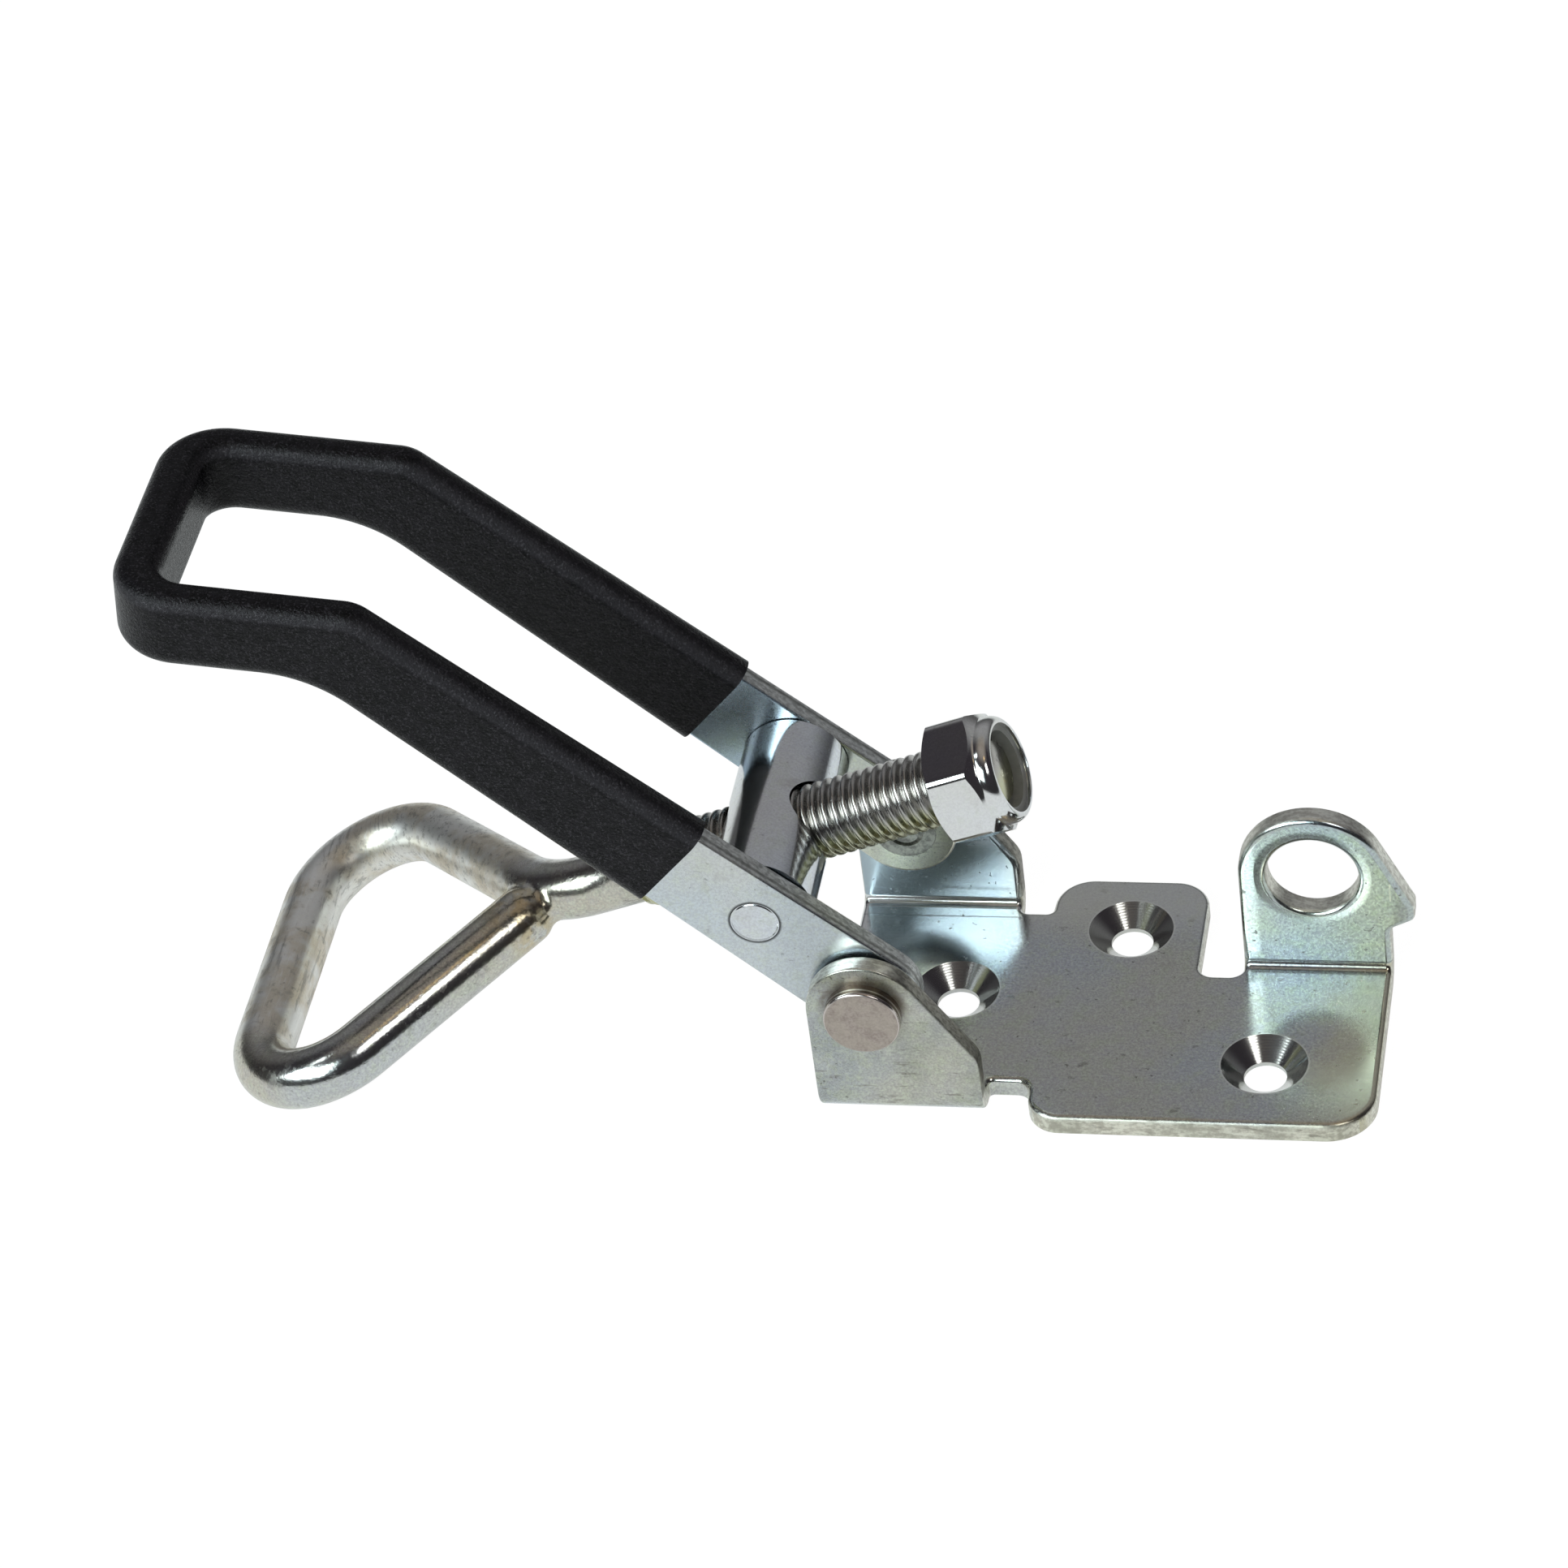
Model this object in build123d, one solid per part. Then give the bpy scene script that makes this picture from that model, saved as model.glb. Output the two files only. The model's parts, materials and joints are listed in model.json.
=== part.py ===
from build123d import *
import os
from math import asin, cos, degrees, radians, sin, sqrt, tan

# Over centre toggle latch, millimetres.
# X runs along the base plate towards the padlock lug, Y across it, Z up.
# The origin is on the underside of the base plate, below the lever pivot.
# The lever is drawn half open, and the loop of its draw rod lies on the bench.

# ---- driving dimensions -------------------------------------------------
sheet = 3.5                # thickness of the base plate and of the lever strip
bend_inner_r = 1.2         # inside radius of the folds
edge_round_top = 1.0       # punched edges, upper and inner sides of the plate
edge_round_under = 0.5     # punched edges, lower and outer sides
edge_round_lever = 0.5     # long edges of the lever strip
tiny = 0.01                # tolerance for finding faces and edges

# base plate outline
plate_right = 76.2
half_width = 27.5          # centre line to the front edge
corner_near_left = 5.0
corner_near_right = 7.6
near_relief_right = 23.2   # far side of the gap beside the front ear
near_relief_depth = 19.4   # its inner end, measured from the centre line
far_relief_right = 21.6    # far side of the gap beside the rear ear
far_relief_depth = 19.6
tab_left = 22.2            # screw tab at the rear edge
tab_right = 46.2
tab_back = 27.9            # its rear edge
tab_round_left = 6.0
tab_round_right = 5.5
lug_relief_depth = 5.8     # slot between the tab and the lug
relief_round = 2.3         # corners of the gaps
fold_corner_r = 0.85       # corner of the gap that touches the front ear's fold

# countersunk screw holes, for M6 screws
screw_hole_r = 3.3
countersink_r = 6.65
countersink_land = 0.7     # straight wall left below the cone
screw_holes = [(58.5, -14.1), (34.6, 16.0), (9.0, 0.8)]

# pivot ears
pivot_height = 21.4
ear_outer = 25.0           # centre line to the outer face of an ear
ear_top_r = 8.9
ear_right = 16.7
ear_slope = 33.0           # the sloping edge, from the vertical
ear_shoulder_r = 5.0       # rounded corner below the sloping edge

# padlock lug
lug_face = 8.2             # centre line to the front face of the lug
lug_left = 53.2
lug_hole_x = 64.6
lug_hole_height = 21.7
lug_hole_r = 7.1
lug_hole_round = 0.9       # punched edge of the hole, on the front face
lug_top_r = 11.4
lug_nose_x = 80.0          # tip of the nose that overhangs the plate
lug_nose_height = 14.6
lug_nose_half = 1.3        # half the height of the nose's blunt end
lug_nose_r = 1.25
lug_throat_height = 11.3
lug_flank = 24.0           # direction in which the top arc turns into the flank

# lever
lever_angle = 42.0         # rise of the arms above the horizontal, to the left
kink_distance = 99.5       # pivot to the bend in the arms
tip_angle = 6.5            # rise of the end of the lever
tip_length = 31.0          # bend to the outer face of the cross bar
tip_width = 10.6           # width of the strip from the bend to the cross bar
tip_drop = 0.6             # its centre line, below that of the bend
arm_outer = 20.9           # centre line to the outer face of an arm
arm_end_r = 8.2            # rounded end at the pivot
arm_width_grip = 12.4      # width of the strip at the bend
kink_r = 14.0
u_bend_r = 9.0             # outer radius of the bends beside the cross bar

# dipped grip sleeve
sleeve = 1.3
sleeve_end = 2.5           # thicker coat outside the cross bar
grip_start = 37.0          # pivot to the open ends of the sleeve
sleeve_round = 2.8

# trunnion bar, which carries the draw rod
trunnion_distance = 21.2   # pivot to trunnion, along the arm
trunnion_r = 8.3
journal_r = 3.75
running_gap = 0.06
side_gap = 0.25

# pivot rivets
rivet_head_r = 5.9
rivet_head_height = 2.3
rivet_head_round = 0.5
rivet_shank_r = 4.0
rivet_tail_r = 4.9         # sunk flush with the inner face of an arm
rivet_tail_depth = 1.1
rivet_groove_inner = 2.2   # ring left in the tail by the riveting tool
rivet_groove_outer = 2.9
rivet_groove_depth = 0.8

# draw rod, M12 at its adjusting end
thread_r = 5.93
rod_r = 4.75
thread_start = -24.0       # along the rod from the trunnion
thread_end = 38.0
rod_hole_r = 6.35
loop_far_bend = -40.3      # where the rod turns into the far leg
loop_side = -88.3          # closed side of the loop, which hooks the catch
far_leg_angle = 43.2
near_leg_angle = 43.5
near_leg_root = -40.9      # where the line of the near leg meets the axis
near_leg_end = 0.2         # from there back to its rounded, welded end
leg_end_round = 4.5
weld_r = 2.0               # smooth fillet of the weld
far_corner_r = 13.0
near_corner_r = 12.0
shank_bend_r = 20.0

# lock nut with a nylon ring
nut_start = 29.1
nut_length = 10.8
nut_flats = 18.0
nut_hex_length = 8.0
nut_turn = 21.5            # turn of the hexagon about the rod
nut_chamfer = 30.0
nut_seat_r = 8.64
nut_shoulder_rise = 0.4    # from the corners of the hexagon up to the collar
collar_r = 8.4
collar_wall = 0.9
collar_round = 1.4
lip_opening_r = 6.9
ring_bore_r = 5.93
ring_start = 6.8           # from the seat face of the nut
ring_length = 3.1

parts_folder = "parts"


# ---- helpers ------------------------------------------------------------
def polar(length, angle):
    """Point at a distance and an angle, in a drawing's own plane."""
    return (length * cos(radians(angle)), length * sin(radians(angle)))


def prism_xz(face, y0, y1):
    """Extrude a face drawn as (x, z) between two values of y."""
    on_side = Plane((0, y1, 0), x_dir=(1, 0, 0), z_dir=(0, -1, 0))
    return extrude(on_side * face, y1 - y0)


def cylinder_y(x, z, radius, y0, y1):
    """Cylinder along Y."""
    return prism_xz(Pos(x, z) * Circle(radius), y0, y1)


def round_corners(face, corners):
    """Fillet the corners of a face that lie nearest to the given points."""
    for x, y, radius in corners:
        corner = min(face.vertices(), key=lambda v: (v.X - x) ** 2 + (v.Y - y) ** 2)
        face = fillet(corner, radius)
    return face


def edges_where(shape, test, kind=lambda edge: True):
    """Edges of a kind whose middle point passes a test."""
    return [edge for edge in shape.edges() if kind(edge) and test(edge @ 0.5)]


# ---- base plate ---------------------------------------------------------
def plate_blank():
    """The flat part of the base, with its three relief slots."""
    lug_back = lug_face + sheet
    outline = Polyline(
        (-ear_top_r, -ear_outer),
        (ear_right, -ear_outer),
        (ear_right, -near_relief_depth),
        (near_relief_right, -near_relief_depth),
        (near_relief_right, -half_width),
        (plate_right, -half_width),
        (plate_right, lug_back),
        (lug_left, lug_back),
        (lug_left, lug_relief_depth),
        (tab_right, lug_relief_depth),
        (tab_right, tab_back),
        (tab_left, tab_back),
        (far_relief_right, far_relief_depth),
        (ear_right, far_relief_depth),
        (ear_right, ear_outer),
        (-ear_top_r, ear_outer),
        close=True,
    )
    face = round_corners(
        make_face(outline),
        [
            (ear_right, -near_relief_depth, fold_corner_r),
            (near_relief_right, -near_relief_depth, relief_round),
            (near_relief_right, -half_width, corner_near_left),
            (plate_right, -half_width, corner_near_right),
            (lug_left, lug_relief_depth, relief_round),
            (tab_right, lug_relief_depth, relief_round),
            (tab_right, tab_back, tab_round_right),
            (tab_left, tab_back, tab_round_left),
            (far_relief_right, far_relief_depth, relief_round / 2),
            (ear_right, far_relief_depth, relief_round / 2),
        ],
    )
    return extrude(face, sheet)


def ear_face():
    """Side view of a pivot ear: round top, sloping edge, square foot."""
    top = (0, pivot_height)
    tangent = polar(ear_top_r, ear_slope)
    touch = (tangent[0], pivot_height + tangent[1])
    foot = (ear_right, touch[1] - (ear_right - touch[0]) / tan(radians(ear_slope)))
    outline = Polyline(
        (-ear_top_r, 0),
        (ear_right, 0),
        foot,
        touch,
        top,
        (-ear_top_r, pivot_height),
        close=True,
    )
    face = make_face(outline) + Pos(*top) * Circle(ear_top_r)
    return round_corners(face, [(foot[0], foot[1], ear_shoulder_r)])


def lug_outline():
    """Side view of the padlock lug, with the nose that overhangs the plate."""
    centre = (lug_hole_x, lug_hole_height)
    start = polar(lug_top_r, lug_flank)
    touch = (centre[0] + start[0], centre[1] + start[1])
    outline = Polyline(
        (lug_left, 0),
        (plate_right, 0),
        (plate_right, lug_throat_height),
        (lug_nose_x, lug_nose_height - lug_nose_half),
        (lug_nose_x, lug_nose_height + lug_nose_half),
        touch,
        centre,
        (lug_left, lug_hole_height),
        close=True,
    )
    face = make_face(outline) + Pos(*centre) * Circle(lug_top_r)
    return round_corners(
        face,
        [
            (lug_nose_x, lug_nose_height - lug_nose_half, lug_nose_r),
            (lug_nose_x, lug_nose_height + lug_nose_half, lug_nose_r),
            (plate_right, lug_throat_height, lug_nose_r),
        ],
    )


def screw_cutter(x, y):
    """Countersunk hole, its cone open at the top face."""
    depth = sheet - countersink_land
    cone = Cone(screw_hole_r, countersink_r, depth, align=(Align.CENTER, Align.CENTER, Align.MAX))
    hole = Cylinder(screw_hole_r, 3 * sheet)
    return Pos(x, y, sheet) * cone + Pos(x, y, 0) * hole


# the two sides of the folded sheet: height of the flat, y of the walls, radius of the folds
upper_side = (sheet, (sheet - ear_outer, ear_outer - sheet, lug_face), bend_inner_r)
under_side = (0, (-ear_outer, ear_outer, lug_face + sheet), bend_inner_r + sheet)


def fold_edges(body, side):
    """Sharp edges where the flat meets the walls, on one side of the sheet."""
    height, walls = side[:2]
    return [
        edge
        for edge in body.edges().filter_by(Axis.X)
        if abs((edge @ 0).Z - height) < tiny and any(abs((edge @ 0).Y - y) < tiny for y in walls)
    ]


def on_side(face, side):
    """True for a face that belongs to one side of the sheet."""
    height, walls, fold_r = side
    if face.geom_type == GeomType.CYLINDER:
        return abs(face.radius - fold_r) < tiny
    if face.geom_type != GeomType.PLANE:
        return False
    middle = face.center()
    if abs(face.normal_at().Z) > 0.9:
        return abs(middle.Z - height) < tiny
    return abs(face.normal_at().Y) > 0.9 and any(abs(middle.Y - y) < tiny for y in walls)


def punched_edges(body, side):
    """Edges all round one side of the sheet: those that bound only one of its faces."""
    edges = [edge for face in body.faces() if on_side(face, side) for edge in face.edges()]
    return [edge for edge in edges if edges.count(edge) == 1]


def make_base_plate():
    body = plate_blank()
    body += prism_xz(ear_face(), ear_outer - sheet, ear_outer)
    body += prism_xz(ear_face(), -ear_outer, -ear_outer + sheet)
    body += prism_xz(lug_outline(), lug_face, lug_face + sheet)
    for side in (under_side, upper_side):
        body = fillet(fold_edges(body, side), side[-1])
    body = fillet(punched_edges(body, upper_side), edge_round_top)
    body = fillet(punched_edges(body, under_side), edge_round_under)

    body -= cylinder_y(lug_hole_x, lug_hole_height, lug_hole_r, 0, 2 * half_width)
    hole_rim = edges_where(
        body,
        lambda p: abs(p.Y - lug_face) < tiny,
        lambda edge: edge.geom_type == GeomType.CIRCLE and abs(edge.radius - lug_hole_r) < tiny,
    )
    body = fillet(hole_rim, lug_hole_round)
    body -= cylinder_y(0, pivot_height, rivet_shank_r, -half_width, half_width)
    for x, y in screw_holes:
        body -= screw_cutter(x, y)
    return body


# ---- lever and grip -----------------------------------------------------
arm_direction = polar(1.0, 180 - lever_angle)
tip_direction = polar(1.0, 180 - tip_angle)
kink = (kink_distance * arm_direction[0], pivot_height + kink_distance * arm_direction[1])
tip = (kink[0] + tip_length * tip_direction[0], kink[1] + tip_length * tip_direction[1])
trunnion = (
    trunnion_distance * arm_direction[0],
    pivot_height + trunnion_distance * arm_direction[1],
)


def beside(point, direction, offset):
    """Point moved square to a direction, to its left for a positive offset."""
    return (point[0] - offset * direction[1], point[1] + offset * direction[0])


def crossing(first, first_direction, second, second_direction):
    """Point where two lines meet."""
    gap = (second[0] - first[0], second[1] - first[1])
    turn = first_direction[0] * second_direction[1] - first_direction[1] * second_direction[0]
    reach = (gap[0] * second_direction[1] - gap[1] * second_direction[0]) / turn
    return (first[0] + reach * first_direction[0], first[1] + reach * first_direction[1])


def lever_edge(side, extra, end_extra):
    """Pivot, bend and end points of the upper (-1) or lower (1) edge of the strip."""
    at_pivot = beside((0, pivot_height), arm_direction, side * (arm_end_r + extra))
    at_kink = beside(kink, arm_direction, side * (arm_width_grip / 2 + extra))
    along = (at_kink[0] - at_pivot[0], at_kink[1] - at_pivot[1])
    end = (tip[0] + end_extra * tip_direction[0], tip[1] + end_extra * tip_direction[1])
    at_end = beside(end, tip_direction, side * (tip_width / 2 + extra) + tip_drop)
    return [at_pivot, crossing(at_pivot, along, at_end, tip_direction), at_end]


def lever_side(extra, end_extra):
    """Side view of the lever strip, grown by an even amount for the sleeve."""
    upper = lever_edge(-1, extra, end_extra)
    lower = lever_edge(1, extra, end_extra)
    half_grip = arm_width_grip / 2 + extra
    face = round_corners(
        make_face(Polyline(*upper, *reversed(lower), close=True)),
        [(*upper[1], kink_r - half_grip), (*lower[1], kink_r + half_grip)],
    )
    return face + Pos(0, pivot_height) * Circle(arm_end_r + extra)


def lever_plan(extra, end_extra):
    """The U of the lever, seen square to its end, as a solid wall."""
    outer = arm_outer + extra
    inner = arm_outer - sheet - extra
    back = 2 * kink_distance
    end = tip_length + end_extra
    wall_end = tip_length - sheet - extra
    square = Polyline((-back, -outer), (end, -outer), (end, outer), (-back, outer), close=True)
    outside = round_corners(
        make_face(square), [(end, -outer, u_bend_r + extra), (end, outer, u_bend_r + extra)]
    )
    hollow = Polyline(
        (-2 * back, -inner), (wall_end, -inner), (wall_end, inner), (-2 * back, inner), close=True
    )
    inside_r = u_bend_r - sheet - extra
    inside = round_corners(
        make_face(hollow), [(wall_end, -inner, inside_r), (wall_end, inner, inside_r)]
    )
    end_plane = Plane(
        (kink[0], 0, kink[1]),
        x_dir=(tip_direction[0], 0, tip_direction[1]),
        z_dir=(tip_direction[1], 0, -tip_direction[0]),
    )
    return extrude(end_plane * (outside - inside), 2 * kink_distance, both=True)


def lever_solid(extra, end_extra):
    width = arm_outer + extra
    return prism_xz(lever_side(extra, end_extra), -width, width) & lever_plan(extra, end_extra)


def lever_strip():
    """The bent strip of the lever with its long edges rounded."""
    body = lever_solid(0, 0)
    return fillet(edges_where(body, lambda p: True, long_edge), edge_round_lever)


def make_lever():
    body = lever_strip()
    body -= cylinder_y(0, pivot_height, rivet_shank_r + running_gap, -half_width, half_width)
    inner = arm_outer - sheet
    for side in (-1, 1):
        ends = sorted((side * inner, side * (inner + rivet_tail_depth + side_gap)))
        body -= cylinder_y(0, pivot_height, rivet_tail_r + running_gap, *ends)
    body -= cylinder_y(
        trunnion[0], trunnion[1], journal_r + running_gap, -half_width, half_width
    )
    return body


def long_edge(edge):
    """True for an edge that runs along the bent strip, not through or across it."""
    chord = edge @ 1 - edge @ 0
    upright = abs(chord.Z * tip_direction[0] - chord.X * tip_direction[1]) > 0.9 * chord.length
    through = abs(chord.Y) > 0.99 * chord.length and chord.length < 2 * sheet + sleeve
    return not upright and not through


def make_grip_sleeve():
    start = (grip_start * arm_direction[0], pivot_height + grip_start * arm_direction[1])
    keep = Plane(
        (start[0], 0, start[1]),
        x_dir=(0, 1, 0),
        z_dir=(arm_direction[0], 0, arm_direction[1]),
    )
    block = extrude(keep * Rectangle(6 * half_width, 6 * half_width), 2 * kink_distance)
    body = lever_solid(sleeve, sleeve_end) & block
    body = fillet(edges_where(body, lambda p: keep.to_local_coords(p).Z > 1, long_edge), sleeve_round)
    return body - lever_strip()


# ---- trunnion bar -------------------------------------------------------
# the rod slopes down until the closed side of its loop touches the bench
rod_rise = degrees(asin((trunnion[1] - rod_r) / -loop_side))
rod_axis = (cos(radians(rod_rise)), 0, sin(radians(rod_rise)))
rod_frame = Plane((trunnion[0], 0, trunnion[1]), x_dir=rod_axis, z_dir=(-rod_axis[2], 0, rod_axis[0]))


def along_rod(start):
    """Plane across the rod, at a distance from the trunnion."""
    origin = (trunnion[0] + start * rod_axis[0], 0, trunnion[1] + start * rod_axis[2])
    return Plane(origin, x_dir=(0, 1, 0), z_dir=rod_axis)


def make_trunnion_bar():
    half = arm_outer - sheet - side_gap
    body = cylinder_y(trunnion[0], trunnion[1], trunnion_r, -half, half)
    body += cylinder_y(trunnion[0], trunnion[1], journal_r, -arm_outer, arm_outer)
    hole = extrude(along_rod(0) * Circle(rod_hole_r), 2 * trunnion_r, both=True)
    return body - hole


# ---- pivot rivets -------------------------------------------------------
def make_rivet(side):
    """Stub rivet: head outside the ear, grooved tail sunk in the arm."""
    inner = arm_outer - sheet
    groove_floor = inner + rivet_groove_depth
    head_base = ear_outer
    head_top = ear_outer + rivet_head_height
    profile = Polyline(
        (0, inner),
        (rivet_groove_inner, inner),
        (rivet_groove_inner, groove_floor),
        (rivet_groove_outer, groove_floor),
        (rivet_groove_outer, inner),
        (rivet_tail_r, inner),
        (rivet_tail_r, inner + rivet_tail_depth),
        (rivet_shank_r, inner + rivet_tail_depth),
        (rivet_shank_r, head_base),
        (rivet_head_r, head_base),
        (rivet_head_r, head_top),
        (0, head_top),
        close=True,
    )
    face = round_corners(make_face(profile), [(rivet_head_r, head_top, rivet_head_round)])
    turned = revolve(face, Axis.Y)
    if side < 0:
        turned = mirror(turned, Plane.XZ)
    return Pos(0, 0, pivot_height) * turned


# ---- draw rod -----------------------------------------------------------
def make_draw_rod():
    """Threaded rod, bent into a loop whose end is welded back on to its shank."""
    near = radians(near_leg_angle)
    far_corner = (loop_side, (loop_far_bend - loop_side) * tan(radians(far_leg_angle)))
    near_corner = (loop_side, (loop_side - near_leg_root) * tan(near))
    halfway = ((loop_side + near_leg_root) / 2, near_corner[1] / 2)
    path = FilletPolyline(
        (thread_start, 0),
        (loop_far_bend, 0),
        far_corner,
        near_corner,
        halfway,
        radius=[shank_bend_r, far_corner_r, near_corner_r],
    )
    body = sweep(along_rod(thread_start) * Circle(rod_r), path=rod_frame * path)

    # the rest of the near leg, with its rounded end
    leg_direction = (cos(near), sin(near))
    leg_length = -halfway[1] / sin(near) - near_leg_end
    leg_plane = Plane((*halfway, 0), x_dir=(0, 0, 1), z_dir=(*leg_direction, 0))
    leg = extrude(leg_plane * Circle(rod_r), leg_length)
    leg = fillet(leg.faces().sort_by(Axis(halfway, leg_direction))[-1].edges(), leg_end_round)
    body += rod_frame * leg
    body = fillet(body.edges().filter_by(GeomType.BSPLINE), weld_r)

    threaded = extrude(along_rod(thread_start) * Circle(thread_r), thread_end - thread_start)
    threaded = chamfer(threaded.edges().filter_by(GeomType.CIRCLE), thread_r - rod_r)
    return body + threaded


# ---- lock nut -----------------------------------------------------------
def make_lock_nut():
    corner_r = nut_flats / sqrt(3)
    hexagon = RegularPolygon(corner_r, 6, rotation=nut_turn)
    seat = along_rod(nut_start)
    prism = extrude(seat * hexagon, nut_length)
    # turned outline: chamfered seat, chamfered shoulder, rolled collar
    chamfer_rise = (corner_r - nut_seat_r) * tan(radians(nut_chamfer))
    profile = Polyline(
        (0, 0),
        (nut_seat_r, 0),
        (corner_r, chamfer_rise),
        (corner_r, nut_hex_length - chamfer_rise),
        (collar_r, nut_hex_length + nut_shoulder_rise),
        (collar_r, nut_length),
        (0, nut_length),
        close=True,
    )
    face = round_corners(make_face(profile), [(collar_r, nut_length, collar_round)])
    turned = revolve(Plane.XZ * face, Axis.Z)
    body = prism & (seat * turned)
    body -= extrude(seat * Circle(thread_r + running_gap), nut_length)
    pocket = along_rod(nut_start + ring_start)
    body -= extrude(pocket * Circle(collar_r - collar_wall), ring_length)
    body -= extrude(pocket * Circle(lip_opening_r), nut_length)
    return body


def make_nylon_ring():
    pocket = along_rod(nut_start + ring_start)
    ring = Circle(collar_r - collar_wall) - Circle(ring_bore_r + running_gap)
    return extrude(pocket * ring, ring_length)


parts = {
    "base_plate": make_base_plate(),
    "lever": make_lever(),
    "grip_sleeve": make_grip_sleeve(),
    "trunnion_bar": make_trunnion_bar(),
    "pivot_rivet_front": make_rivet(-1),
    "pivot_rivet_rear": make_rivet(1),
    "draw_rod": make_draw_rod(),
    "lock_nut": make_lock_nut(),
    "nylon_ring": make_nylon_ring(),
}

os.makedirs(parts_folder, exist_ok=True)
for name, solid in parts.items():
    solid.label = name
    export_step(solid, os.path.join(parts_folder, name + ".step"))
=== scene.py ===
import bmesh
import bpy
import json
from math import atan2, cos, pi, radians, sin, sqrt, tan
from mathutils import Matrix, Vector


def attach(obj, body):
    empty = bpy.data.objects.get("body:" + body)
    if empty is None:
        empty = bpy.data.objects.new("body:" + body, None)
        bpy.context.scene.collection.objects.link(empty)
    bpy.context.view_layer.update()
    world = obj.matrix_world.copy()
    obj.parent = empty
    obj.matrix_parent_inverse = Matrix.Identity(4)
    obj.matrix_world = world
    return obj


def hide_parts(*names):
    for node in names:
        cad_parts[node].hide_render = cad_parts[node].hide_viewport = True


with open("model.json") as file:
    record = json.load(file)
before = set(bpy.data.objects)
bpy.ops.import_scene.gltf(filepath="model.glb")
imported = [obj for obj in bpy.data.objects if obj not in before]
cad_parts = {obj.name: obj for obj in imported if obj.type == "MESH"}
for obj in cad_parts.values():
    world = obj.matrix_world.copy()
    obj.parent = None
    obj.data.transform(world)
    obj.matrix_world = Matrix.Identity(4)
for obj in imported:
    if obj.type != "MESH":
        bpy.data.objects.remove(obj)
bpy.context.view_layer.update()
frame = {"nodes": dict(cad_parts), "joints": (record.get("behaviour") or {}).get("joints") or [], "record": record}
nodes = frame["nodes"]

# Over centre toggle latch, in metres, in the frame of its solids:
# X along the base plate towards the padlock lug, Y across it, Z up.
MM = 0.001

# ---- places on the latch ------------------------------------------------
joint = {row["name"]: row for row in frame["joints"]}
mount = {row["name"]: row for row in frame["record"]["mounts"]}
pivot = Vector(joint["lever_pivot"]["pos_m"])
trunnion = Vector(joint["trunnion_swivel"]["pos_m"])
rod_direction = Vector(joint["rod_slide"]["axis"]).normalized()
screw_hole_names = ("screw_hole_front", "screw_hole_rear", "screw_hole_left")
screw_holes = [Vector(mount[name]["pos_m"]) for name in screw_hole_names]
padlock_hole = Vector(mount["padlock_hole"]["pos_m"])

# base plate
sheet = 3.5 * MM                     # thickness of the plate and of the lever strip
plate_top = sheet * 0.9              # above this is the upper face
upright_from = sheet * 1.3           # above this are the ears and the lug
right_edge = 76.0 * MM
countersink_r = 6.65 * MM
tool_mark_pitch = 0.35 * MM
ear_outer = 25.0 * MM
ear_right = 17 * MM                  # end of an ear's fold
ears_end = 20 * MM                   # no part of an ear lies to the right of this
fold_inner = 20.3 * MM               # where the flat of the plate turns up into an ear
tab_left = 18 * MM
lug_end_from = 40 * MM               # the lug, and not the ears, is to the right of this
lug_face = 8.2 * MM                  # front face of the padlock lug
lug_left = 53.2 * MM
lug_hole_r = 7.1 * MM
lug_crease_height = 19 * MM

# lever, trunnion bar and rivets
lever_rise = radians(42)             # slope of the arms
arm_outer = 20.9 * MM
journal_r = 3.75 * MM                # end of the trunnion bar, seen in the arms
rivet_head_r = 5.9 * MM
# rivet_step places a painted highlight on the side of a rivet's head
rivet_step = ear_outer + 1.1 * MM    # bright step on the side of a rivet's head

# thread of the draw rod
thread_pitch = 1.75 * MM
thread_major_r = 5.93 * MM
thread_minor_r = 4.93 * MM
thread_start = -24.0 * MM            # along the rod from the trunnion
thread_end = 38.0 * MM
thread_tip = 1.3 * MM                # length of the cone at its end
thread_overlap = 0.3 * MM            # of the plain bar into the thread
loop_far = -88.3 * MM                # closed side of the loop
weld_run = -45.0 * MM                # middle of the weld, along the rod
weld_side = -4.0 * MM                # and across it
shank_r = 4.75 * MM

# lock nut, from its seat face
nut_flat = 9.0 * MM                  # from the axis to a flat
nut_corner_round = 1.6 * MM
nut_seat_r = 8.64 * MM
nut_bore_r = 6.08 * MM
nut_shoulder = 7.0 * MM              # where the corners start to fall to the crown
nut_neck = 8.4 * MM
crown_r = 8.4 * MM
crown_lip_r = 7.05 * MM
crown_opening_r = 6.9 * MM
nylon_seat = 6.8 * MM
nylon_top = 9.9 * MM
nylon_r = 7.5 * MM

# meshes
merge_gap = 0.0005 * MM              # points nearer than this become one
rod_crease = radians(50)             # edges sharper than this stay sharp
nut_crease = radians(28)

# ---- camera -------------------------------------------------------------
camera_place = Vector((0.1504, -0.6248, 0.5701))
camera_azimuth = radians(14.71)
camera_elevation = radians(39.09)
camera_roll = radians(-8.29)
camera_lens = 125.85                 # millimetres on a 36 mm square sensor


# ---- light --------------------------------------------------------------
def colour(red, green, blue):
    return (red, green, blue, 1.0)


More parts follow.
